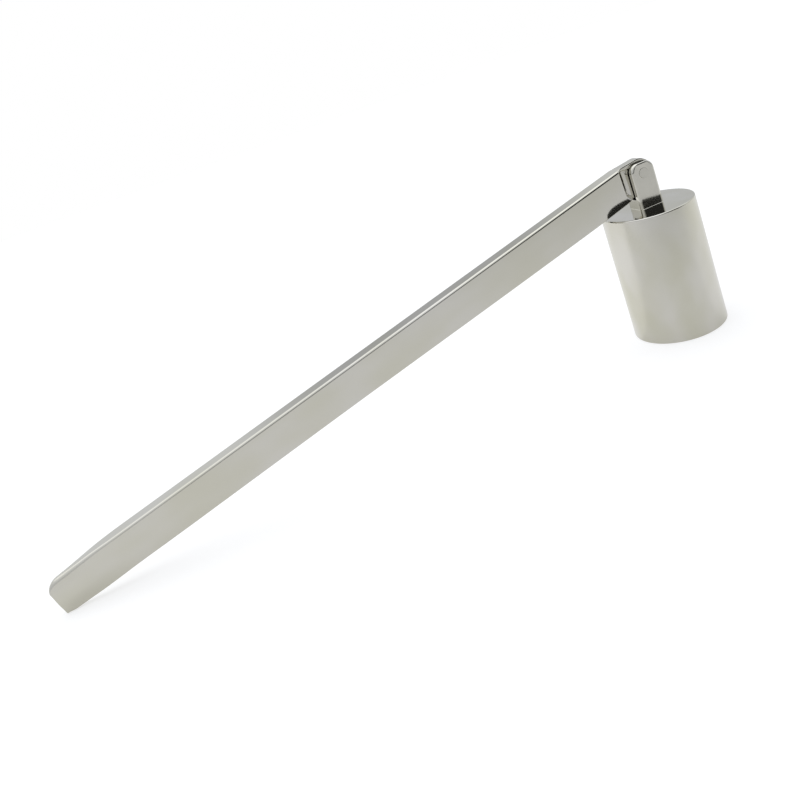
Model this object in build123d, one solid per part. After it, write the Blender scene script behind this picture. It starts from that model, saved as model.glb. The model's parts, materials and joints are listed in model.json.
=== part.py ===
from build123d import *
import os
from math import asin, atan2, degrees, hypot

# Candle snuffer: a cup with a two-eared lug on its flat top, and a folded-sheet handle hinged in the lug.
# Millimetres. Origin at the centre of the cup's mouth, +Z up its axis, hinge along Y, handle towards -X.
# It stands as it does on a table, on the cup's rim and the handle's tip.

# Cup
cup_diameter = 22.0
cup_height = 31.2
cup_wall = 1.0
cup_top_thickness = 1.2
cup_edge_break = 0.2
cup_inner_corner_round = 1.2

# Hinge lug, standing on the cup's top
lug_width = 6.2
lug_depth = 5.4
lug_height = 10.8
lug_base_thickness = 2.4
lug_top_round = 1.6
lug_edge_round = 0.75
pivot_above_cup = 8.2

# Hinge pin
pin_diameter = 2.5
pin_proud = 0.12
pin_end_round = 0.2
pin_seat_clearance = 0.01
pin_running_clearance = 0.06

# Screw that holds the lug, from inside the cup
screw_diameter = 3.0
screw_seat_clearance = 0.02
screw_pass_clearance = 0.1
screw_end_gap = 0.3
screw_head_diameter = 5.2
screw_head_height = 1.0
screw_head_round = 0.6
screw_slot_width = 0.8
screw_slot_depth = 0.5

# Handle, a strip of sheet folded to a channel that is open below
sheet = 1.15
handle_length = 160.0
handle_thickness = 4.4
axis_to_handle_top = 3.8
axis_to_handle_bottom = 4.2
handle_fold_round = 0.6

# Tongue, where the channel is pressed flat to go between the ears
tongue_reach = 3.5
tongue_corner_round = 3.9
tongue_flat = 4.6
tongue_side_clearance = 0.3
shoulder = 6.3

# Tip, where the two walls are pinched together
tip_pinch_length = 18.0
tip_solid_length = 5.0
tip_corner_round = 3.0

# Hollow of the channel, which closes to an oval nose at either end
hollow_nose_setback = 1.0
hollow_full_setback = 2.2

# Run-out of every cut past the face that it leaves by
overrun = 2.0

# Sizes that follow from the ones above
cup_radius = cup_diameter / 2
pin_radius = pin_diameter / 2
screw_radius = screw_diameter / 2
tongue_thickness = 2 * sheet
lug_slot = tongue_thickness + 2 * tongue_side_clearance
pivot_height = cup_height + pivot_above_cup
tip_distance = handle_length - tongue_reach
pinch_start = tip_distance - tip_pinch_length
tip_corner_distance = hypot(tip_distance, axis_to_handle_bottom)
tip_corner_angle = atan2(axis_to_handle_bottom, tip_distance)
rest_droop = degrees(asin(pivot_height / tip_corner_distance) - tip_corner_angle)


def make_cup():
    """Turned cup: flat closed top with a crisp edge, thin wall, open mouth and a hole for the lug's screw."""
    cup = Cylinder(cup_radius, cup_height, align=(Align.CENTER, Align.CENTER, Align.MIN))
    cup = chamfer(cup.edges().filter_by(GeomType.CIRCLE), cup_edge_break)
    depth = cup_height - cup_top_thickness
    hollow = Cylinder(cup_radius - cup_wall, depth + overrun, align=(Align.CENTER, Align.CENTER, Align.MIN))
    hollow = fillet(hollow.edges().filter_by(GeomType.CIRCLE).sort_by(Axis.Z)[-1:], cup_inner_corner_round)
    cup -= Pos(0, 0, -overrun) * hollow
    screw_hole = Cylinder(screw_radius + screw_pass_clearance, cup_top_thickness + overrun)
    return cup - Pos(0, 0, cup_height) * screw_hole


def make_lug():
    """Lug: a small block with soft uprights and rounded top corners, slotted from above to leave two ears."""
    lug = extrude(RectangleRounded(lug_width, lug_depth, lug_edge_round), lug_height)
    face = Rectangle(lug_width, lug_height, align=(Align.CENTER, Align.MIN))
    face = fillet(face.vertices().group_by(Axis.Y)[-1], lug_top_round)
    lug &= extrude(Plane.XZ * face, lug_depth, both=True)
    slot = Box(lug_width + overrun, lug_slot, lug_height, align=(Align.CENTER, Align.CENTER, Align.MIN))
    lug -= Pos(0, 0, lug_base_thickness) * slot
    pin_hole = Rot(X=90) * Cylinder(pin_radius + pin_seat_clearance, lug_depth + overrun)
    lug -= Pos(0, 0, pivot_above_cup) * pin_hole
    lug -= Cylinder(screw_radius + screw_seat_clearance, 2 * lug_base_thickness + overrun)
    return Pos(0, 0, cup_height) * lug


def make_pin():
    """Hinge pin with softly rounded ends that stand just proud of the ears."""
    pin = Cylinder(pin_radius, lug_depth + 2 * pin_proud)
    pin = fillet(pin.edges().filter_by(GeomType.CIRCLE), pin_end_round)
    return Pos(0, 0, pivot_height) * Rot(X=90) * pin


def make_screw():
    """Low-headed slotted screw, its head inside the cup and its end short of the lug's slot."""
    length = cup_top_thickness + lug_base_thickness - screw_end_gap
    shank = Cylinder(screw_radius, length, align=(Align.CENTER, Align.CENTER, Align.MIN))
    head = Cylinder(screw_head_diameter / 2, screw_head_height, align=(Align.CENTER, Align.CENTER, Align.MAX))
    head = fillet(head.edges().filter_by(GeomType.CIRCLE).sort_by(Axis.Z)[:1], screw_head_round)
    groove = Box(screw_head_diameter + overrun, screw_slot_width, 2 * screw_slot_depth)
    screw = shank + head - Pos(0, 0, -screw_head_height) * groove
    return Pos(0, 0, cup_height - cup_top_thickness) * screw


def channel_plan():
    """Outline of the folded strip from above: flat tongue, shoulder, parallel body and pinched tip."""
    tongue_half = tongue_thickness / 2
    body_half = handle_thickness / 2
    tip_half = sheet
    hinge_end = tongue_reach + overrun
    tip_end = -(tip_distance + overrun)
    along = [(-1, 0), (-1, 0)]
    side = [
        Line((hinge_end, 0), (hinge_end, tongue_half)),
        Line((hinge_end, tongue_half), (-tongue_flat, tongue_half)),
        Spline((-tongue_flat, tongue_half), (-shoulder, body_half), tangents=along),
        Line((-shoulder, body_half), (-pinch_start, body_half)),
        Spline((-pinch_start, body_half), (-tip_distance, tip_half), tangents=along),
        Line((-tip_distance, tip_half), (tip_end, tip_half)),
        Line((tip_end, tip_half), (tip_end, 0)),
        Line((tip_end, 0), (hinge_end, 0)),
    ]
    half = make_face(side)
    return half + mirror(half, Plane.XZ)


def hollow_plan():
    """Outline of the gap between the folded walls, closing to an oval nose at the shoulder and at the tip."""
    gap = handle_thickness - 2 * sheet
    near_full = shoulder + hollow_full_setback
    near_nose = near_full - tongue_flat - hollow_nose_setback
    far_nose = tip_pinch_length - tip_solid_length
    outline = Pos(-(near_full + pinch_start) / 2, 0) * Rectangle(pinch_start - near_full, gap)
    outline += Pos(-near_full, 0) * Ellipse(near_nose, gap / 2)
    return outline + Pos(-pinch_start, 0) * Ellipse(far_nose, gap / 2)


def channel_side():
    """Outline of the handle from the side: rounded tongue end, square lower tip corner, rounded upper one."""
    middle = (tongue_reach - tip_distance) / 2
    height = axis_to_handle_top + axis_to_handle_bottom
    outline = Pos(middle, (axis_to_handle_top - axis_to_handle_bottom) / 2) * Rectangle(handle_length, height)
    outline = fillet(outline.vertices().group_by(Axis.X)[-1], tongue_corner_round)
    tip_corner = outline.vertices().group_by(Axis.X)[0].sort_by(Axis.Y)[-1:]
    return fillet(tip_corner, tip_corner_round)


def make_handle():
    """Folded channel whose flat tongue carries the pin hole, drooping until its tip meets the table."""
    height = axis_to_handle_top + axis_to_handle_bottom
    bar = Pos(0, 0, -axis_to_handle_bottom) * extrude(channel_plan(), height)
    folds = bar.edges().group_by(Axis.Z)[-1].filter_by(Axis.Y, reverse=True)
    bar = fillet(folds, handle_fold_round)
    bar &= extrude(Plane.XZ * channel_side(), handle_thickness, both=True)
    hollow_height = height - sheet + overrun
    bar -= Pos(0, 0, -axis_to_handle_bottom - overrun) * extrude(hollow_plan(), hollow_height)
    bar -= Rot(X=90) * Cylinder(pin_radius + pin_running_clearance, handle_thickness + overrun)
    return Pos(0, 0, pivot_height) * Rot(Y=-rest_droop) * bar


os.makedirs("parts", exist_ok=True)
pieces = {
    "snuffer_cup": make_cup(),
    "hinge_lug": make_lug(),
    "hinge_pin": make_pin(),
    "lug_screw": make_screw(),
    "handle_channel": make_handle(),
}
for name, piece in pieces.items():
    export_step(piece, f"parts/{name}.step")
print("handle droop at rest", round(rest_droop, 3), "pivot height", pivot_height)
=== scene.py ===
# %% [markdown]
# # A candle snuffer in polished steel
# A small cup is lowered over a flame. A long handle, folded from one strip of sheet, swings on a pin
# between two ears on the cup's flat top. The solids come from the CAD model, and this script gives them
# their looks. Everything is in metres, in the CAD model's own frame: the table is z = 0 and the handle runs
# towards -X.

# %% Load the solids
import bpy, bmesh, json
from math import cos, pi, radians, sin, tan
from mathutils import Euler, Matrix, Vector


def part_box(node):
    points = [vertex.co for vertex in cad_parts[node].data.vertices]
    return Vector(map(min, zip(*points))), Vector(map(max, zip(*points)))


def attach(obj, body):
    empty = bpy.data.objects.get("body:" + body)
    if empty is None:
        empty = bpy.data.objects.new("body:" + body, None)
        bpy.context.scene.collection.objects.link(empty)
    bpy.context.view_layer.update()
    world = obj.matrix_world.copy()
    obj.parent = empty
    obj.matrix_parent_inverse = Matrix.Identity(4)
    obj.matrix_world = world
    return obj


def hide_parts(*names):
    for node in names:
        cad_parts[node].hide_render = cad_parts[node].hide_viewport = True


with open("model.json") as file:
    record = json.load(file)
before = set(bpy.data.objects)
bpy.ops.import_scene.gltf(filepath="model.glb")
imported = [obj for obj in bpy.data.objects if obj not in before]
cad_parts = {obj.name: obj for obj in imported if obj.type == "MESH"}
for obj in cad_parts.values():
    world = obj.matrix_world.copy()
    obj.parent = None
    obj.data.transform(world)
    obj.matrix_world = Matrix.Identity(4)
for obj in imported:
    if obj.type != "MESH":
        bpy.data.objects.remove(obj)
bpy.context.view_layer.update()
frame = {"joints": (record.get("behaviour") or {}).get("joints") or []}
scene = bpy.context.scene
scene.view_settings.view_transform = "Standard"
mm = 0.001


def in_mm(box):
    """Corners of a box in millimetres, for printing."""
    return [[round(c / mm, 2) for c in corner] for corner in box]


# %% [markdown]
# ## Sizes read from the solids
# A finer piece has to sit exactly where its solid sits. So the cup's and lug's sizes are read from the
# solids' own boxes and the hinge's place from the joint. Only what a box can't tell is written out.

# %% Sizes of the cup, the lug and the hinge
_, cup_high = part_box("snuffer_cup")
lug_low, lug_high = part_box("hinge_lug")
pin_low, pin_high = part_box("hinge_pin")
cup_radius, cup_top = cup_high.x, cup_high.z
pivot = Vector(frame["joints"][0]["pos_m"])
handle_droop = radians(13.039)
to_rest = Matrix.Translation(pivot) @ Matrix.Rotation(-handle_droop, 4, "Y")
print("cup radius", round(cup_radius / mm, 2), "height", round(cup_top / mm, 2), "pivot", round(pivot.z / mm, 2))

# %% [markdown]
# ## The camera
# The photograph is taken from close by, a little above the table, with the camera rolled so that the handle
# crosses the picture. Its place came from fitting the cup's rims, the handle's edges and the lug's corners.
# The picture's middle isn't the lens's middle, so the frame is shifted down by a fifth of its width.

# %% Camera
lens = bpy.data.cameras.new("photo_camera")
lens.sensor_width, lens.lens, lens.shift_y = 36.0, 34.839, -0.2
camera = bpy.data.objects.new("photo_camera", lens)
camera.location = Vector((-93.185, -161.326, 81.145)) * mm
camera.rotation_euler = Euler([radians(a) for a in (77.2352, 19.308, -16.1931)])
lens.clip_start, lens.clip_end = 0.005, 20.0
scene.collection.objects.link(camera)
scene.camera = camera
print("camera", round((camera.location - pivot).length / mm), "mm from the hinge")

# %% [markdown]
# ## Sums written as Python
# A node tree that works something out soon fills with Math nodes. This small class wraps a socket, so that
# `1 - mask * 0.4` in Python adds those nodes by itself. It works in shader trees and in geometry trees.

# %% A socket that can be reckoned with
class Signal:
    """An output socket. Operators on it add Math nodes to its tree."""

    def __init__(self, socket):
        self.socket = socket
        self.tree = socket.id_data

    @staticmethod
    def node(tree, kind, settings=None, sockets=None, out=0):
        """Any node: its type, its settings, then the values or links of its sockets."""
        made = tree.nodes.new(kind)
        for name, value in (settings or {}).items():
            setattr(made, name, value)
        for name, value in (sockets or {}).items():
            if isinstance(value, Signal):
                tree.links.new(value.socket, made.inputs[name])
            else:
                made.inputs[name].default_value = value
        return Signal(made.outputs[out])

    def also(self, name):
        """Another output of the same node."""
        return Signal(self.socket.node.outputs[name])

    def maths(self, operation, first, second=0.0):
        return Signal.node(self.tree, "ShaderNodeMath", {"operation": operation}, {0: first, 1: second})

    def __add__(self, other):
        return self.maths("ADD", self, other)

    def __radd__(self, other):
        return self.maths("ADD", other, self)

    def __sub__(self, other):
        return self.maths("SUBTRACT", self, other)

    def __rsub__(self, other):
        return self.maths("SUBTRACT", other, self)

    def __mul__(self, other):
        return self.maths("MULTIPLY", self, other)

    def __rmul__(self, other):
        return self.maths("MULTIPLY", other, self)

    def __truediv__(self, other):
        return self.maths("DIVIDE", self, other)

    def __rtruediv__(self, other):
        return self.maths("DIVIDE", other, self)

    def __neg__(self):
        return self.maths("SUBTRACT", 0.0, self)

    def __abs__(self):
        return self.maths("ABSOLUTE", self)

    def root(self):
        return self.maths("SQRT", self)

    def to_power(self, exponent):
        return self.maths("POWER", self, exponent)

    def at_least(self, other):
        return self.maths("MAXIMUM", self, other)

    def at_most(self, other):
        return self.maths("MINIMUM", self, other)

    def rise(self, low, high):
        """0 below low, 1 above high, and a smooth climb between them."""
        ends = {"Value": self, "From Min": low, "From Max": high}
        return Signal.node(self.tree, "ShaderNodeMapRange", {"interpolation_type": "SMOOTHSTEP"}, ends)

    def degrees_left_of(self, forward):
        """Angle to the left of straight in front, in degrees. self is the part to the right."""
        return self.maths("ARCTAN2", -self, -forward) * (180 / pi)


def shader_tree(owner):
    """The empty node tree of a material or world, with its output node."""
    owner.use_nodes = True
    owner.node_tree.nodes.clear()
    kind = "ShaderNodeOutputWorld" if isinstance(owner, bpy.types.World) else "ShaderNodeOutputMaterial"
    return owner.node_tree, owner.node_tree.nodes.new(kind).inputs["Surface"]


print("operators", [n for n in dir(Signal) if n in ("__add__", "__rsub__", "__mul__", "__rtruediv__")])

# %% [markdown]
# ## The light
# Polished steel has hardly any look of its own: it shows the room. This room is a white tent, which could
# be built from lamps and cards, but a dome that is worked out from the direction of a ray is simpler to
# steer. It is brightest above and to the right, and light grey behind. On the camera's side the tent is
# open and darker. A black flag stands to the right of the camera, and draws the black line along the
# handle's fold and the black patch at the lug's foot. The camera itself sees plain white.

# %% Studio dome
def toward(left, up):
    """Direction that many degrees to the left of straight in front of the object, and above the table."""
    level = Vector((-sin(radians(left)), -cos(radians(left)), 0.0))
    return level * cos(radians(up)) + Vector((0.0, 0.0, sin(radians(up))))


world = bpy.data.worlds.new("studio")
scene.world = world
tree, surface = shader_tree(world)
looking = Signal.node(tree, "ShaderNodeTexCoord", out="Generated")
height = Signal.node(tree, "ShaderNodeSeparateXYZ", sockets={0: looking}, out="Z")
rightward = height.also("X")
left = rightward.degrees_left_of(height.also("Y"))


def soft_spot(direction, outer, inner):
    """1 within inner degrees of a direction, 0 outside outer degrees, and a smooth fall between them."""
    settings = {"operation": "DOT_PRODUCT"}
    facing = Signal.node(tree, "ShaderNodeVectorMath", settings, {0: looking, 1: direction}, out="Value")
    return facing.rise(cos(radians(outer)), cos(radians(inner)))


# Soft edges in degrees to the left of the front, and tops as the sine of the height in the sky
flag_right_edge, flag_left_edge, flag_top = (-70, -46), (-20, 2), (0.7, 0.9)
opening_left_edge, opening_top = (90, 115), (0.35, 0.65)
dark_flag = left.rise(*flag_right_edge) * (1 - left.rise(*flag_left_edge)) * (1 - height.rise(*flag_top))
open_side = left.rise(*flag_left_edge) * (1 - left.rise(*opening_left_edge)) * (1 - height.rise(*opening_top))
shade = 0.96 * dark_flag + open_side * (0.6 - 0.48 * left.rise(5, 28))
grey_back = 0.36 * soft_spot(toward(183, 20), 18, 5)
grey_right = 0.2 * soft_spot(toward(222, 12), 26, 10)
above = height.rise(0.35, 0.95) * (0.35 + 0.65 * rightward.rise(-0.25, 0.2))
dome = (0.82 + 0.42 * above) * (1 - grey_back) * (1 - grey_right) * (1 - shade)
cool_white = (0.975, 1.0, 1.05)
cool = Signal.node(tree, "ShaderNodeVectorMath", {"operation": "SCALE"}, {0: cool_white, "Scale": dome})
room = Signal.node(tree, "ShaderNodeBackground", sockets={"Color": cool})
white = Signal.node(tree, "ShaderNodeBackground", sockets={"Color": (1.0, 1.0, 1.0, 1.0)})
to_camera = Signal.node(tree, "ShaderNodeLightPath", out="Is Camera Ray")
shown = Signal.node(tree, "ShaderNodeMixShader", sockets={0: to_camera, 1: room, 2: white})
tree.links.new(shown.socket, surface)
print("dome nodes", len(tree.nodes))

# %% [markdown]
# ## The lamp and the floor
# One broad lamp from behind and above gives the soft shadow on a sheet of white paper. The paper is lit a
# little from within where the camera sees it, so that it stays white. Steel sees a painted glow on it
# instead: grey in front, lighter further back and beside the tent's two walls, and dark far out on the
# open side, where its colour is also darkened as painted shade.

# %% Soft lamp and white floor
lamp = bpy.data.lights.new("soft_lamp", "SUN")
lamp.angle, lamp.energy = radians(70), 0.45
lamp_object = bpy.data.objects.new("soft_lamp", lamp)
lamp_object.rotation_euler = (-toward(155, 60)).to_track_quat("-Z", "Y").to_euler()
scene.collection.objects.link(lamp_object)

floor_mesh = bpy.data.meshes.new("floor")
half_floor, floor_level = 2.0, -0.02 * mm
corners = [(-1, -1), (1, -1), (1, 1), (-1, 1)]
floor_points = [(x * half_floor, y * half_floor, floor_level) for x, y in corners]
floor_mesh.from_pydata(floor_points, [], [(0, 1, 2, 3)])
floor = bpy.data.objects.new("floor", floor_mesh)
scene.collection.objects.link(floor)
paper = bpy.data.materials.new("white_paper")
floor_mesh.materials.append(paper)
tree, surface = shader_tree(paper)
place = Signal.node(tree, "ShaderNodeTexCoord", out="Object")
x = Signal.node(tree, "ShaderNodeSeparateXYZ", sockets={0: place}, out="X")
y = x.also("Y")
path = Signal.node(tree, "ShaderNodeLightPath", out="Is Camera Ray")
mirrored = path.also("Is Glossy Ray").at_least(path.also("Is Transmission Ray"))
aside = x.degrees_left_of(y)
# Painted light: for mirrored rays the paper glows in a pattern, lighter further back and beside the walls, and far out
# its matt colour drops nearly to black as painted shade.
painted_wall_glow = 0.12 * aside.rise(90, 104) + 0.06 * (1 - aside.rise(-54, -38))
level = 0.23 + 0.16 * y.rise(-125 * mm, -25 * mm) + 0.06 * y.rise(-40 * mm, 0.0)
level = level + painted_wall_glow * y.rise(-90 * mm, -40 * mm)
near = mirrored * (1 - (-y).rise(260 * mm, 380 * mm))
matt = Signal.node(tree, "ShaderNodeBsdfDiffuse", sockets={"Color": 0.45 - 0.42 * (mirrored - near)})
lift = Signal.node(tree, "ShaderNodeEmission", sockets={"Color": 0.64 * path + level * near})
both = Signal.node(tree, "ShaderNodeAddShader", sockets={0: matt, 1: lift})
tree.links.new(both.socket, surface)
print("lamp", lamp.energy, "W/m2, floor", 2 * half_floor, "m wide")

# %% [markdown]
# ## The steel
# All pieces are of the same warm grey stainless steel, and only their finish differs. A picture wrapped
# round the part could carry that, but it would show seams and blur close by, so each finish is worked out
# from the place on the piece. It is made of a slow cloudiness, fine lines from the polishing belt or the
# lathe, and a few hair scratches from use. These steer the colour a little, the roughness more, and a very
# shallow bump.

# %% Shared steel
steel_tint = (0.600, 0.584, 0.520)


def place_of(tree, turn=None):
    """Object coordinates, turned and moved by a matrix if one is given."""
    place = Signal.node(tree, "ShaderNodeTexCoord", out="Object")
    if turn is None:
        return place
    sockets = {"Vector": place, "Location": turn.to_translation(), "Rotation": turn.to_euler()}
    return Signal.node(tree, "ShaderNodeMapping", sockets=sockets)


def noise(tree, place, stretch, detail=2.0):
    """Smooth random value from 0 to 1, with that many waves per metre along each axis."""
    scaled = Signal.node(tree, "ShaderNodeVectorMath", {"operation": "MULTIPLY"}, {0: place, 1: stretch})
    return Signal.node(tree, "ShaderNodeTexNoise", sockets={"Vector": scaled, "Scale": 1.0, "Detail": detail})


def parts_of(tree, place):
    """The three coordinates of a place."""
    x = Signal.node(tree, "ShaderNodeSeparateXYZ", sockets={0: place}, out="X")
    return x, x.also("Y"), x.also("Z")


def blend(tree, share, first, second):
    """Colour that goes from first to second as share goes from 0 to 1."""
    sockets = {0: share, 6: first if isinstance(first, Signal) else (*first, 1.0), 7: (*second, 1.0)}
    return Signal.node(tree, "ShaderNodeMix", {"data_type": "RGBA"}, sockets, out=2)


def finish_steel(tree, surface, colour, roughness, lines, depth):
    """A metal surface of that colour and roughness, with fine lines pressed into it."""
    pressed_in = {"Strength": depth, "Distance": 0.02 * mm, "Height": lines}
    bump = Signal.node(tree, "ShaderNodeBump", sockets=pressed_in)
    sockets = {"Base Color": colour, "Metallic": 1.0, "Roughness": roughness, "Normal": bump}
    tree.links.new(Signal.node(tree, "ShaderNodeBsdfPrincipled", sockets=sockets).socket, surface)


def tinted(share, warmth=0.0):
    """The steel's colour, lighter or darker by a share, and with that much of its blue taken away."""
    red, green, blue = (c * share for c in steel_tint)
    return red, green, blue * (1 - warmth)


print("steel", steel_tint)

# %% [markdown]
# ## The handle's finish
# The handle is polished along its length on a belt, so its lines follow the strip, which droops. A Mapping
# node turns the pattern to the strip. The pressed fold beside the hinge and the pinched tip are duller,
# because a belt can't reach into them. The inside of the fold was never polished, so it is rougher, and its
# colour is darkened nearly to black as painted shade in the hollow. An attribute of the mesh marks it.

# %% Handle steel, polished along its length
handle_steel = bpy.data.materials.new("handle_steel")
tree, surface = shader_tree(handle_steel)
place = place_of(tree, to_rest.inverted())
along, _, up = parts_of(tree, place)
cloud = noise(tree, place, (45, 90, 90))
belt = noise(tree, place, (70, 7000, 5200), detail=3.0)
slanted = place_of(tree, Matrix.Rotation(radians(9), 4, "Y") @ to_rest.inverted())
hair = noise(tree, slanted, (110, 900, 4200)).rise(0.73, 0.78)
inside = Signal.node(tree, "ShaderNodeAttribute", {"attribute_name": "inside"}, out="Fac")
colour = blend(tree, cloud.rise(0.3, 0.7), tinted(0.985, 0.04), tinted(1.055, -0.03))
# Painted shade: the inside of the channel is darkened nearly to black, far more than unpolished steel would be.
colour = blend(tree, inside * 0.8, colour, (0.19, 0.185, 0.17))
reach = -along
hinge_fold = (1 - reach.rise(3.6 * mm, 5.0 * mm)) * up.rise(1.6 * mm, 2.4 * mm)
tip_fold = reach.rise(145 * mm, 151 * mm) * up.rise(0.5 * mm, 1.5 * mm)
unpolished = 0.38 * inside + 0.1 * hinge_fold + 0.16 * tip_fold
roughness = 0.04 + 0.04 * cloud + 0.03 * belt + 0.1 * hair + unpolished
finish_steel(tree, surface, colour, roughness, belt + 0.5 * hair, 0.03)
print(handle_steel.name, len(tree.nodes), "nodes")

# %% [markdown]
# ## The cup's finish
# Round its side the cup is satin from the lathe, with fine level lines, so it blurs the room to broad light
# strips. Its flat top is polished to a mirror and shows the lug and the handle. The bore is duller, and its
# colour is darker as painted shade inside the cup. One material does all three: masks made from the height
# and the distance from the axis choose between them.

# %% Cup steel, satin round the side and mirror-polished on top
cup_steel = bpy.data.materials.new("cup_steel")
tree, surface = shader_tree(cup_steel)
place = place_of(tree)
x, y, z = parts_of(tree, place)
out_from_axis = (x * x + y * y).root()
on_top = z.rise(cup_top - 0.22 * mm, cup_top - 0.04 * mm)
within_wall = 1 - out_from_axis.rise(cup_radius - 0.75 * mm, cup_radius - 0.45 * mm)
inside = within_wall * (1 - z.rise(cup_top - 0.9 * mm, cup_top - 0.5 * mm))
cloud = noise(tree, place, (95, 95, 60))
turned = noise(tree, place, (140, 140, 6500), detail=3.0)
colour = blend(tree, cloud.rise(0.3, 0.7), tinted(0.97, 0.06), tinted(1.085, -0.03))
# Painted shade: the bore's colour is darkened towards a dark grey.
colour = blend(tree, inside * 0.7, colour, (0.30, 0.295, 0.28))
satin = 0.15 + 0.06 * cloud + 0.05 * turned
roughness = satin * (1 - on_top) + (0.05 + 0.05 * cloud) * on_top + 0.1 * inside
finish_steel(tree, surface, colour, roughness, turned * (1 - on_top), 0.04)
print(cup_steel.name, len(tree.nodes), "nodes")

# %% [markdown]
# ## The small pieces' finish
# The lug, the pin and the screw share one recipe with different numbers, so a function makes their
# materials. The lug's slot is left rough, as it was sawn, and its colour is darkened nearly to black as
# painted shade between the ears. That draws the dark line that shows between the tongue and the ear.

# %% Lug, pin and screw steel
def small_steel(name, shade, rough, stretch, depth, slot=None):
    """Polished steel for a small piece. Its lines run along the axis with the fewest waves.

    A slot is its half width and the height of its floor. It stays rough, with painted shade darkening it.
    """
    made = bpy.data.materials.new(name)
    tree, surface = shader_tree(made)
    place = place_of(tree)
    cloud = noise(tree, place, (260, 260, 260))
    lines = noise(tree, place, stretch, detail=3.0)
    colour = blend(tree, cloud.rise(0.3, 0.7), tinted(0.96 * shade), tinted(1.04 * shade))
    roughness = rough + 0.06 * cloud + 0.05 * lines
    if slot:
        half_width, floor_height = slot
        _, y, z = parts_of(tree, place)
        between_ears = 1 - abs(y).rise(half_width, half_width + 0.1 * mm)
        rough_and_shaded_slot = between_ears * z.rise(floor_height - 0.05 * mm, floor_height)
        # Painted shade: the slot's colour is darkened nearly to black; only the added roughness is the sawn finish.
        colour = blend(tree, rough_and_shaded_slot * 0.9, colour, (0.07, 0.065, 0.055))
        roughness = roughness + 0.3 * rough_and_shaded_slot
    finish_steel(tree, surface, colour, roughness, lines, depth)
    return made


slot_half, slot_floor = 1.45 * mm, lug_low.z + 2.4 * mm
# Painted light: the lug's steel is made 6 % lighter than plain steel, so that its face reflects brighter.
lug_steel = small_steel("lug_steel", 1.06, 0.07, (5200, 5200, 300), 0.02, slot=(slot_half, slot_floor))
pin_steel = small_steel("pin_steel", 1.02, 0.10, (5200, 300, 5200), 0.03)
screw_steel = small_steel("screw_steel", 0.90, 0.22, (900, 900, 5200), 0.05)
print([m.name for m in (lug_steel, pin_steel, screw_steel)])

# %% [markdown]
# ## Sections with rounded corners
# No edge on real metal is perfectly sharp, and on a mirror finish it is the small roundings that draw the
# bright and dark lines. This helper takes a section's corners, each with its radius, and returns points
# with true arcs. It adds a point just beside each arc, which keeps the flat faces next to it flat in the
# shading.

# %% Rounded section
def rounded(corners, closed=True, arc_steps=6, longest=1.0):
    """Points round a section in the plane. Each corner is (a, b, radius)."""
    points = []
    count = len(corners)
    for i, (a, b, radius) in enumerate(corners):
        here = Vector((a, b))
        if radius == 0 or (not closed and i in (0, count - 1)):
            points.append(here)
            continue
        back = (Vector(corners[i - 1][:2]) - here).normalized()
        on = (Vector(corners[(i + 1) % count][:2]) - here).normalized()
        half = back.angle(on) / 2
        reach = radius / tan(half)
        centre = here + (back + on).normalized() * radius / sin(half)
        start, end = here + back * reach - centre, here + on * reach - centre
        beside = 0.04 * mm
        points.append(centre + start + back * beside)
        turn = start.angle_signed(end)
        for k in range(arc_steps + 1):
            points.append(centre + Matrix.Rotation(-turn * k / arc_steps, 2) @ start)
        points.append(centre + end + on * beside)
    if longest is None:
        return points
    filled = []
    for i, point in enumerate(points):
        filled.append(point)
        following = points[(i + 1) % len(points)]
        if closed or i < len(points) - 1:
            cuts = int((following - point).length / (longest * mm))
            filled += [point.lerp(following, (k + 1) / (cuts + 1)) for k in range(cuts)]
    return filled


square = rounded([(0, 0, 0.2 * mm), (mm, 0, 0), (mm, mm, 0), (0, mm, 0)])
print("a square with one rounded corner has", len(square), "points")

# %% [markdown]
# ## One lathe for every turned piece
# The cup, the pin and the screw are all turned on a lathe, so one Geometry Nodes tree makes them all. It
# takes a section, lays a grid with one column for each of its points, and carries every row of the grid
# round the axis. Spin would do the same in mesh code, but here the number of steps stays a named input that
# can be changed later.

# %% Lathe tree
def new_tree(name, inputs):
    """A geometry tree with its named inputs and one geometry output. Returns the tree and its input signals."""
    tree = bpy.data.node_groups.new(name, "GeometryNodeTree")
    tree.interface.new_socket("Geometry", in_out="OUTPUT", socket_type="NodeSocketGeometry")
    for label, kind in {"Geometry": "NodeSocketGeometry", **inputs}.items():
        tree.interface.new_socket(label, in_out="INPUT", socket_type=kind)
    entry = tree.nodes.new("NodeGroupInput")
    return tree, {label: Signal(entry.outputs[label]) for label in ("Geometry", *inputs)}


def end_tree(tree, geometry, material):
    """Closes a tree: merged seam, smooth shading, realized instances and the material."""
    seam = {"Geometry": geometry, "Distance": 0.0002 * mm}
    merged = Signal.node(tree, "GeometryNodeMergeByDistance", sockets=seam)
    smooth = Signal.node(tree, "GeometryNodeSetShadeSmooth", sockets={0: merged})
    real = Signal.node(tree, "GeometryNodeRealizeInstances", sockets={0: smooth})
    painted = Signal.node(tree, "GeometryNodeSetMaterial", sockets={0: real, "Material": material})
    tree.links.new(painted.socket, tree.nodes.new("NodeGroupOutput").inputs[0])


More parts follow.
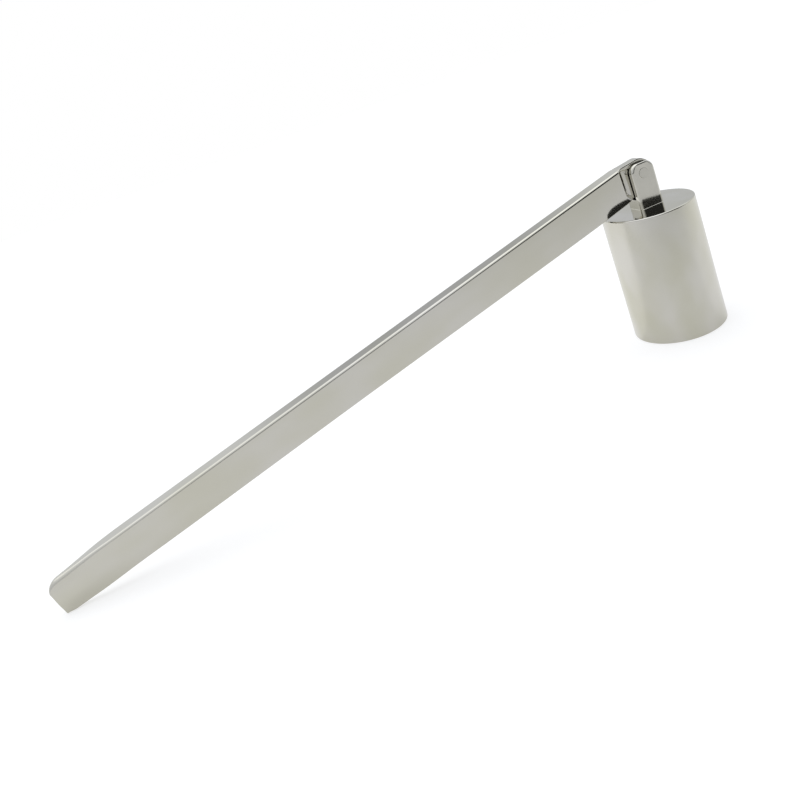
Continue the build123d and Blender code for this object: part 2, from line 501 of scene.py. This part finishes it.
lathe_inputs = {"Steps": "NodeSocketInt", "Closed": "NodeSocketInt", "Steel": "NodeSocketMaterial"}
lathe_tree, given = new_tree("lathe", lathe_inputs)
outline = {0: given["Geometry"]}
size = Signal.node(lathe_tree, "GeometryNodeAttributeDomainSize", sockets=outline, out="Point Count")
rows = given["Steps"] + 1
grid_sockets = {"Size X": 1.0, "Size Y": 1.0, "Vertices X": size + given["Closed"], "Vertices Y": rows}
grid = Signal.node(lathe_tree, "GeometryNodeMeshGrid", sockets=grid_sockets, out="Mesh")
index = Signal.node(lathe_tree, "GeometryNodeInputIndex")
column = (index / rows + 1e-4).maths("FLOOR", index / rows + 1e-4)
row = index - column * rows
point = column.maths("MODULO", column, size)
where = Signal.node(lathe_tree, "GeometryNodeInputPosition")
sampling = {"data_type": "FLOAT_VECTOR", "domain": "POINT"}
sample = {"Geometry": given["Geometry"], "Value": where, "Index": point}
sampled = Signal.node(lathe_tree, "GeometryNodeSampleIndex", sampling, sample)
radius = Signal.node(lathe_tree, "ShaderNodeSeparateXYZ", sockets={0: sampled}, out="X")
angle = row * (2 * pi) / given["Steps"]
turned_to = {
    "X": radius * angle.maths("COSINE", angle),
    "Y": radius * angle.maths("SINE", angle),
    "Z": radius.also("Z"),
}
moved = Signal.node(lathe_tree, "ShaderNodeCombineXYZ", sockets=turned_to)
placed = Signal.node(lathe_tree, "GeometryNodeSetPosition", sockets={"Geometry": grid, "Position": moved})
end_tree(lathe_tree, placed, given["Steel"])
print("lathe tree", len(lathe_tree.nodes), "nodes")

# %% Running a tree
sharp_angle = 35


def run_tree(name, source, tree, values, sharp=sharp_angle):
    """Runs a tree on source, with inputs set by identifier, and returns a plain mesh object."""
    modifier = source.modifiers.new("tree", "NODES")
    modifier.node_group = tree
    for item in tree.interface.items_tree:
        if item.in_out == "INPUT" and item.name in values:
            modifier[item.identifier] = values[item.name]
    evaluated = source.evaluated_get(bpy.context.evaluated_depsgraph_get())
    mesh = bpy.data.meshes.new_from_object(evaluated)
    source.modifiers.remove(modifier)
    bpy.data.objects.remove(source)
    return tidy_object(name, mesh, sharp)


def tidy_object(name, mesh, sharp):
    """An object for a finished mesh, with its normals facing out and its sharp edges marked."""
    work = bmesh.new()
    work.from_mesh(mesh)
    bmesh.ops.recalc_face_normals(work, faces=work.faces)
    open_edges = sum(len(e.link_faces) != 2 for e in work.edges)
    work.to_mesh(mesh)
    work.free()
    mesh.set_sharp_from_angle(angle=radians(sharp))
    mesh.name = name
    piece = bpy.data.objects.new(name, mesh)
    scene.collection.objects.link(piece)
    triangles = sum(len(p.vertices) - 2 for p in mesh.polygons)
    print(name, triangles, "triangles,", open_edges, "open edges")
    return piece


def outline_object(points, closed=True):
    """A chain of edges in the XZ plane, to feed a tree."""
    mesh = bpy.data.meshes.new("outline")
    count = len(points)
    edges = [(i, (i + 1) % count) for i in range(count if closed else count - 1)]
    mesh.from_pydata([(p.x, 0.0, p.y) for p in points], edges, [])
    made = bpy.data.objects.new("outline", mesh)
    scene.collection.objects.link(made)
    return made


def turn(name, section, material, closed=True, steps=192):
    values = {"Steps": steps, "Closed": int(closed), "Steel": material}
    return run_tree(name, outline_object(section, closed), lathe_tree, values)


print("ready to turn pieces")

# %% [markdown]
# ## The cup
# A plain cylinder with a flat closed top and a thin wall, open below. Its top edge is crisp, with a
# rounding of about a third of a millimetre that catches a broken dark line. The inner corner is softer, as
# a tool leaves it.

# %% Cup
wall, top_thickness, screw_hole = 1.0 * mm, 1.2 * mm, 1.6 * mm
edge, lip, inner_corner = 0.3 * mm, 0.2 * mm, 1.2 * mm
cup_section = rounded([
    (cup_radius, 0.0, lip),
    (cup_radius, cup_top, edge),
    (screw_hole, cup_top, 0),
    (screw_hole, cup_top - top_thickness, 0),
    (cup_radius - wall, cup_top - top_thickness, inner_corner),
    (cup_radius - wall, 0.0, lip),
], longest=3.0)
cup = turn("cup", cup_section, cup_steel)

# %% [markdown]
# ## The hinge pin and the screw
# The pin goes through both ears and the handle's tongue, and its ends are filed almost flush. The screw
# comes up through the cup's top into the lug. Only its slotted head shows, deep in the cup. The slot is cut
# with a Boolean.

# %% Pin
pin_radius = (pin_high.z - pin_low.z) / 2
pin_end = pin_high.y
filed = 0.05 * mm
pin_section = rounded([(0, -pin_end, 0), (pin_radius, -pin_end, filed), (pin_radius, pin_end, filed), (0, pin_end, 0)],
                      closed=False, longest=2.0)
pin = turn("pin", pin_section, pin_steel, closed=False, steps=72)
pin.data.transform(Matrix.Translation(pivot) @ Matrix.Rotation(radians(90), 4, "X"))

# %% Cutting and rounding
def block(low, high):
    """A plain box between two corners, as a cutter or as a blank."""
    work = bmesh.new()
    bmesh.ops.create_cube(work, size=1.0)
    low, high = Vector(low), Vector(high)
    for v in work.verts:
        v.co = (low + high) / 2 + Vector(c * d for c, d in zip(v.co, high - low))
    mesh = bpy.data.meshes.new("block")
    work.to_mesh(mesh)
    work.free()
    made = bpy.data.objects.new("block", mesh)
    scene.collection.objects.link(made)
    return made


def rod(axis_turn, centre, radius, length, steps=72):
    """A plain round cutter along Z, turned and moved into place."""
    work = bmesh.new()
    bmesh.ops.create_cone(work, cap_ends=True, segments=steps, radius1=radius, radius2=radius, depth=length)
    work.transform(Matrix.Translation(centre) @ axis_turn)
    mesh = bpy.data.meshes.new("rod")
    work.to_mesh(mesh)
    work.free()
    made = bpy.data.objects.new("rod", mesh)
    scene.collection.objects.link(made)
    return made


def cut(name, blank, steps, material):
    """The blank after its steps, each a Boolean with another solid or a rounding of the edges it has so far."""
    for step, what in steps:
        if step == "ROUND":
            bevel = blank.modifiers.new("edges", "BEVEL")
            bevel.width, bevel.segments, bevel.limit_method, bevel.angle_limit = what, 3, "ANGLE", radians(50)
        else:
            boolean = blank.modifiers.new("cut", "BOOLEAN")
            boolean.operation, boolean.solver, boolean.object = step, "EXACT", what
    mesh = bpy.data.meshes.new_from_object(blank.evaluated_get(bpy.context.evaluated_depsgraph_get()))
    for used in (blank, *[what for step, what in steps if step != "ROUND"]):
        bpy.data.objects.remove(used)
    mesh.materials.clear()
    mesh.materials.append(material)
    mesh.shade_smooth()
    piece = tidy_object(name, mesh, sharp_angle)
    flats = piece.modifiers.new("true_flats", "WEIGHTED_NORMAL")
    flats.keep_sharp, flats.weight = True, 100
    piece.data = bpy.data.meshes.new_from_object(piece.evaluated_get(bpy.context.evaluated_depsgraph_get()))
    piece.modifiers.remove(flats)
    return piece


print("cutters ready")

# %% Screw
screw_low, screw_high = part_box("lug_screw")
shank_radius, head_radius = 1.5 * mm, 2.6 * mm
under_head = cup_top - top_thickness
screw_section = rounded([
    (0, screw_low.z, 0),
    (head_radius, screw_low.z, 0.6 * mm),
    (head_radius, under_head, 0.06 * mm),
    (shank_radius, under_head, 0),
    (shank_radius, screw_high.z, 0.2 * mm),
    (0, screw_high.z, 0),
], closed=False, longest=2.0)
screw_blank = turn("screw_blank", screw_section, screw_steel, closed=False, steps=72)
slot_cutter = block((-3 * mm, -0.4 * mm, screw_low.z - mm), (3 * mm, 0.4 * mm, screw_low.z + 0.5 * mm))
screw = cut("screw", screw_blank, [("DIFFERENCE", slot_cutter)], screw_steel)

# %% [markdown]
# ## The lug
# A small milled block with rounded top corners, slotted from above so that two ears stand up. It is cut
# from a blank as it would be at a bench. The blank is a stack of level rings that draw in towards the top.
# Then come the slot, a Bevel that breaks the edges, a foot that spreads by a hair on the cup, and the two
# holes. A Weighted Normal modifier keeps the normals of the flat faces true, because a mirror finish would
# show any bend in them.

# %% Level rings
top_round, upright_round, top_edge = 2.1 * mm, 0.75 * mm, 0.35 * mm
foot_spread, edge_break = 0.045 * mm, 0.08 * mm


def ring(half_x, half_y, z):
    """A level rectangle with rounded corners."""
    corners = [(-half_x, -half_y), (half_x, -half_y), (half_x, half_y), (-half_x, half_y)]
    return [(p.x, p.y, z) for p in rounded([(*c, upright_round) for c in corners], longest=None)]


def stack(name, rings):
    """A solid through level rings of points that lie one above the other."""
    count = len(rings[0])
    faces = [tuple(range(count))[::-1], tuple(range(count * (len(rings) - 1), count * len(rings)))]
    for level in range(len(rings) - 1):
        low = level * count
        for i in range(count):
            following = (i + 1) % count
            faces.append((low + i, low + following, low + count + following, low + count + i))
    mesh = bpy.data.meshes.new(name)
    mesh.from_pydata([point for level in rings for point in level], [], faces)
    return tidy_object(name, mesh, sharp_angle)


half_x, half_y, bottom, top = lug_high.x, lug_high.y, lug_low.z, lug_high.z
print("a ring of the lug has", len(ring(half_x, half_y, bottom)), "points")

# %% Lug
rings = [ring(half_x, half_y, bottom)]
top_steps = 18
for k in range(top_steps + 1):
    a = k / top_steps * pi / 2
    drop = top_round * (1 - sin(a))
    climb = max(0.0, 1 - drop / top_edge)
    drawn_in = top_edge * (1 - (1 - climb ** 2) ** 0.5)
    rings.append(ring(half_x - top_round * (1 - cos(a)), half_y - drawn_in, top - drop))
wide_ring = ring(half_x + foot_spread, half_y + foot_spread, bottom)
lug_foot = stack("lug_foot", [wide_ring, ring(half_x, half_y, bottom + foot_spread)])
slot_cutter = block((-5 * mm, -slot_half, slot_floor), (5 * mm, slot_half, top + 5 * mm))
pin_cutter = rod(Matrix.Rotation(radians(90), 4, "X"), pivot, pin_radius + 0.01 * mm, 20 * mm)
screw_cutter = rod(Matrix.Identity(4), Vector((0, 0, bottom)), shank_radius + 0.02 * mm, 9 * mm)
lug = cut("lug", stack("lug_blank", rings), [
    ("DIFFERENCE", slot_cutter),
    ("ROUND", edge_break),
    ("UNION", lug_foot),
    ("DIFFERENCE", screw_cutter),
    ("DIFFERENCE", pin_cutter),
], lug_steel)

# %% [markdown]
# ## The handle
# One strip of sheet folded along its length into an upside-down channel. At the hinge its walls are pressed
# together into a flat tongue, with a short shoulder where they spread, and at the tip they are pinched. It
# could be shaped by hand, but it follows a rule: one section, moved by amounts that depend on the distance
# from the pin and on the height. So a Geometry Nodes tree sweeps the section and then presses it, as the
# real strip is folded and pressed.

# %% Handle section and its stations
sheet, half_thick, fold = 1.15 * mm, 2.2 * mm, 0.6 * mm
above_pin, below_pin = 3.8 * mm, 4.2 * mm
tongue_end, tip_end, tongue_run, tongue_round = 3.25 * mm, 156.38 * mm, 3.25 * mm, 3.25 * mm
tip_run, tip_fall = 2.8 * mm, 1.9 * mm
half_gap = half_thick - sheet
beside_bead = [(2.2 + 0.12 * k) * mm for k in range(8)]
handle_section = rounded([
    (-half_thick, -below_pin, 0.15 * mm),
    *[(-half_thick, w, 0) for w in beside_bead],
    (-half_thick, above_pin, fold),
    (half_thick, above_pin, fold),
    *[(half_thick, w, 0) for w in beside_bead[::-1]],
    (half_thick, -below_pin, 0.15 * mm),
    (half_gap, -below_pin, 0.12 * mm),
    (half_gap, above_pin - sheet, 0.12 * mm),
    (-half_gap, above_pin - sheet, 0.12 * mm),
    (-half_gap, -below_pin, 0.12 * mm),
], arc_steps=12, longest=0.3)


def spread(start, end, pitch):
    """Distances from start up to, not including, end, about one pitch apart."""
    steps = max(1, round((end - start) / pitch))
    return [start + (end - start) * k / steps for k in range(steps)]


quarter = [k / 16 * pi / 2 for k in range(16)]
stations = [-tongue_end + tongue_run * (1 - cos(a)) for a in quarter]
stations += spread(tongue_run - tongue_end, 3.4 * mm, 0.3 * mm) + spread(3.4 * mm, 7.0 * mm, 0.05 * mm)
stations += spread(7.0 * mm, 130 * mm, 3.0 * mm) + spread(130 * mm, tip_end - tip_run, 0.4 * mm)
stations += [tip_end - tip_run * (1 - cos(a)) for a in quarter[::-1]]
print(len(handle_section), "points round the section,", len(stations), "stations along the handle")

# %% Pressing tree
lengths = [
    "Tongue flat", "Land share", "Step run", "Shoulder", "Shoulder lean", "Shoulder hook",
    "Fold crease", "Bead", "Press depth", "Half thickness", "Wall lean", "Bow",
    "Pinch start", "Tip end", "Tip run", "Tip fall", "Tip dip", "Tip top round", "Tip belly",
    "Hinge belly", "Lip curl", "Tongue end", "Tongue run", "Tongue fall", "Tongue dip",
    "Tongue round", "Above pin", "Below pin", "Slit", "End round",
]
press_inputs = {"Section": "NodeSocketObject", "Steel": "NodeSocketMaterial"}
press_inputs.update({name: "NodeSocketFloat" for name in lengths})
press_tree, given = new_tree("folded_channel", press_inputs)
rail = Signal.node(press_tree, "GeometryNodeMeshToCurve", sockets={0: given["Geometry"]})
upright = Signal.node(press_tree, "GeometryNodeSetCurveNormal", {"mode": "Z_UP"}, {0: rail})
section = Signal.node(press_tree, "GeometryNodeObjectInfo", sockets={"Object": given["Section"]}, out="Geometry")
loop = Signal.node(press_tree, "GeometryNodeMeshToCurve", sockets={0: section})
sweeping = {0: upright, "Profile Curve": loop, "Fill Caps": True}
swept = Signal.node(press_tree, "GeometryNodeCurveToMesh", sockets=sweeping)
where = Signal.node(press_tree, "GeometryNodeInputPosition")
x, y, z = parts_of(press_tree, where)
reach = -x
print("sweep", len(press_tree.nodes), "nodes")

# %% [markdown]
# ## Pressing the walls
# The press leaves a flat tongue, a land that opens a little, and a steep step at the shoulder, which leans
# and hooks back at its foot. Along the tongue's top a thin bead stays where the fold resists the press. All
# of it is one value, how far each wall has moved inwards, built up from smooth rises.

# %% Walls pressed inwards
def quarter_round(distance, run):
    """Falls from 1 at an end to 0 one run away from it, as a quarter of a circle does."""
    left = ((run - distance) / run).at_least(0.0).at_most(1.0)
    return 1 - (1 - left * left).at_least(0.0).root()


def soft(operation, first, second, width):
    """The lesser or greater of two values, with the change from one to the other rounded."""
    return Signal.node(press_tree, "ShaderNodeMath", {"operation": operation}, {0: first, 1: second, 2: width})


hook = given["Shoulder hook"] * (-z).rise(2.2 * mm, 4.4 * mm)
bend = given["Shoulder"] - z * given["Shoulder lean"] - hook
step = (reach - bend) / given["Step run"] + 1.0
land = (reach - given["Tongue flat"]) / (bend - given["Tongue flat"]) * given["Land share"]
ramp = soft("SMOOTH_MAX", land, step, 0.1)
tongue = 1 - soft("SMOOTH_MIN", soft("SMOOTH_MAX", ramp, 0.0, 0.1), 1.0, 0.15)
pinch = reach.rise(given["Pinch start"], given["Tip end"])
near_tip = reach.rise(given["Pinch start"], given["Tip end"] - given["Tip run"])
low_down = (-z).rise(given["Below pin"] * 0.3, given["Below pin"])
from_tongue, from_tip = reach + given["Tongue end"], given["Tip end"] - reach
shrink = quarter_round(from_tongue, given["End round"]) + quarter_round(from_tip, given["End round"])
inwards = given["Press depth"] * (tongue + pinch) + given["Lip curl"] * low_down * near_tip
inwards = inwards + shrink * given["End round"]
inwards = inwards + given["Wall lean"] * (given["Above pin"] - z) * (1 - tongue) * (1 - pinch)
bead = (z - 0.7 * mm * reach.rise(1.5 * mm, 4.5 * mm)).rise(2.3 * mm, 2.65 * mm)
inwards = inwards - given["Bead"] * bead * tongue
pressed = (abs(y) - inwards).at_least(given["Slit"])
print("painted_wall_glow", len(press_tree.nodes), "nodes")

# %% [markdown]
# ## Shaping the folds
# A fold has a soft outside corner. On the tongue the press has made it tight, and at the tip polishing has
# made it round. Both move the corner's points along the line from its centre: outwards to a squarer corner
# on the tongue, inwards to a true quarter circle at the tip.

# %% Folds, tight on the tongue and round at the tip
radius = given["Tip top round"]
outer = given["Half thickness"] - given["Press depth"] * pinch
u = ((pressed - outer + radius) / radius).at_least(1e-4)
v = ((z - given["Above pin"] + radius) / radius).at_least(1e-4)
excess = near_tip * radius * (1 - 1 / (u * u + v * v).root().at_least(1.0))
crease = given["Fold crease"]
wall_here = given["Half thickness"] - (given["Press depth"] - given["Bead"]) * tongue
a = ((pressed - wall_here + crease) / crease).at_least(0.0)
b = ((z - given["Above pin"] + crease) / crease).at_least(0.0)
corner = (a.to_power(10.0) + b.to_power(10.0)).to_power(0.1)
growth = ((a * a + b * b).root() / corner.at_least(0.001) - 1).at_least(0.0)
sharper = tongue.rise(0.5, 0.68) * crease * growth
new_y = (pressed - u * excess + a * sharper).at_least(given["Slit"]) * y.maths("SIGN", y)
rounded_z = z - v * excess + b * sharper
print("folds", len(press_tree.nodes), "nodes")

# %% [markdown]
# ## Shaping the upper and lower edges
# Seen from the side, the tongue's end is rounded, the lower edge has a slight belly, and the upper edge
# falls a little before the tip's corner. Each is a height by which the upper or the lower half of the
# section is stretched.

# %% Upper and lower edges
tongue_top = given["Tongue fall"] * quarter_round(from_tongue, given["Tongue run"])
tongue_top = tongue_top + given["Tongue dip"] * (1 - reach.rise(-1 * mm, 5 * mm))
tongue_low = given["Tongue round"] * quarter_round(from_tongue, given["Tongue round"])
tip_top = given["Tip fall"] * quarter_round(from_tip, given["Tip run"])
tip_top = tip_top + given["Tip dip"] * reach.rise(143 * mm, 155 * mm)
swell = 0.65 * reach.rise(4 * mm, 8.5 * mm) + 0.35 * reach.rise(9 * mm, 18 * mm)
hinge_low = given["Hinge belly"] * swell * (1 - 0.7 * reach.rise(30 * mm, 95 * mm))
hinge_low = hinge_low * (1 - reach.rise(125 * mm, 145 * mm))
tip_low = given["Tip belly"] * reach.rise(138 * mm, 149 * mm) * (1 - reach.rise(154 * mm, given["Tip end"]))
upper = rounded_z.at_least(0.0) * (1 - (tongue_top + tip_top) / given["Above pin"])
lower = rounded_z.at_most(0.0) * (1 + (hinge_low + tip_low - tongue_low) / given["Below pin"])
share = reach.at_least(0.0) * pi / given["Tip end"]
arch = given["Bow"] * share.maths("SINE", share)
new_place = {"X": x, "Y": new_y, "Z": upper + lower + arch}
moved = Signal.node(press_tree, "ShaderNodeCombineXYZ", sockets=new_place)
placed = Signal.node(press_tree, "GeometryNodeSetPosition", sockets={"Geometry": swept, "Position": moved})
end_tree(press_tree, placed, given["Steel"])
print("pressing tree", len(press_tree.nodes), "nodes")

# %% Handle
section_mesh = bpy.data.meshes.new("handle_section")
count = len(handle_section)
section_edges = [(i, (i + 1) % count) for i in range(count)]
section_mesh.from_pydata([(p.x, -p.y, 0.0) for p in handle_section], section_edges, [])
marks = section_mesh.attributes.new("inside", "FLOAT", "POINT")
inner_half, inner_top = half_gap + 0.01 * mm, above_pin - sheet + 0.01 * mm
is_inside = [float(abs(p.x) < inner_half and p.y < inner_top) for p in handle_section]
marks.data.foreach_set("value", is_inside)
section_object = bpy.data.objects.new("handle_section", section_mesh)
scene.collection.objects.link(section_object)
rail_mesh = bpy.data.meshes.new("handle_rail")
rail_mesh.from_pydata([(-s, 0.0, 0.0) for s in stations], [(i, i + 1) for i in range(len(stations) - 1)], [])
rail_object = bpy.data.objects.new("handle_rail", rail_mesh)
scene.collection.objects.link(rail_object)
handle_sizes = {
    "Section": section_object, "Steel": handle_steel, "Above pin": above_pin, "Below pin": below_pin,
    "Half thickness": half_thick, "Press depth": half_gap, "Slit": 0.015 * mm, "End round": 0.2 * mm,
    "Wall lean": tan(radians(3.2)), "Bow": 0.03 * mm, "Hinge belly": 0.38 * mm,
    "Tongue end": tongue_end, "Tongue run": tongue_run, "Tongue round": tongue_round,
    "Tongue fall": 3.3 * mm, "Tongue dip": 0.42 * mm,
    "Tongue flat": 3.3 * mm, "Land share": 0.3, "Step run": 1.05 * mm, "Fold crease": fold, "Bead": 0.19 * mm,
    "Shoulder": 5.8 * mm, "Shoulder lean": 0.16, "Shoulder hook": 1.1 * mm,
    "Tip end": tip_end, "Tip run": tip_run, "Tip fall": tip_fall,
    "Tip dip": 0.45 * mm, "Tip top round": 1.0 * mm,
    "Pinch start": 138.5 * mm, "Tip belly": 0.32 * mm, "Lip curl": 0.3 * mm,
}
handle = run_tree("handle", rail_object, press_tree, handle_sizes, sharp=30)
bpy.data.objects.remove(section_object)
handle.data.transform(to_rest)
print("handle box in mm", in_mm((handle.bound_box[0], handle.bound_box[6])))

# %% [markdown]
# ## Handing over
# Each finer piece now stands for its solid and rides on the same body, so the handle swings with the joint.

# %% Ride and replace
for piece, node, body, slot in (
    (cup, "snuffer_cup", "cup", "cup_steel"),
    (lug, "hinge_lug", "cup", "lug_steel"),
    (pin, "hinge_pin", "cup", "pin_steel"),
    (screw, "lug_screw", "cup", "screw_steel"),
    (handle, "handle_channel", "handle", "handle_steel"),
):
    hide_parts(node)
    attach(piece, body)
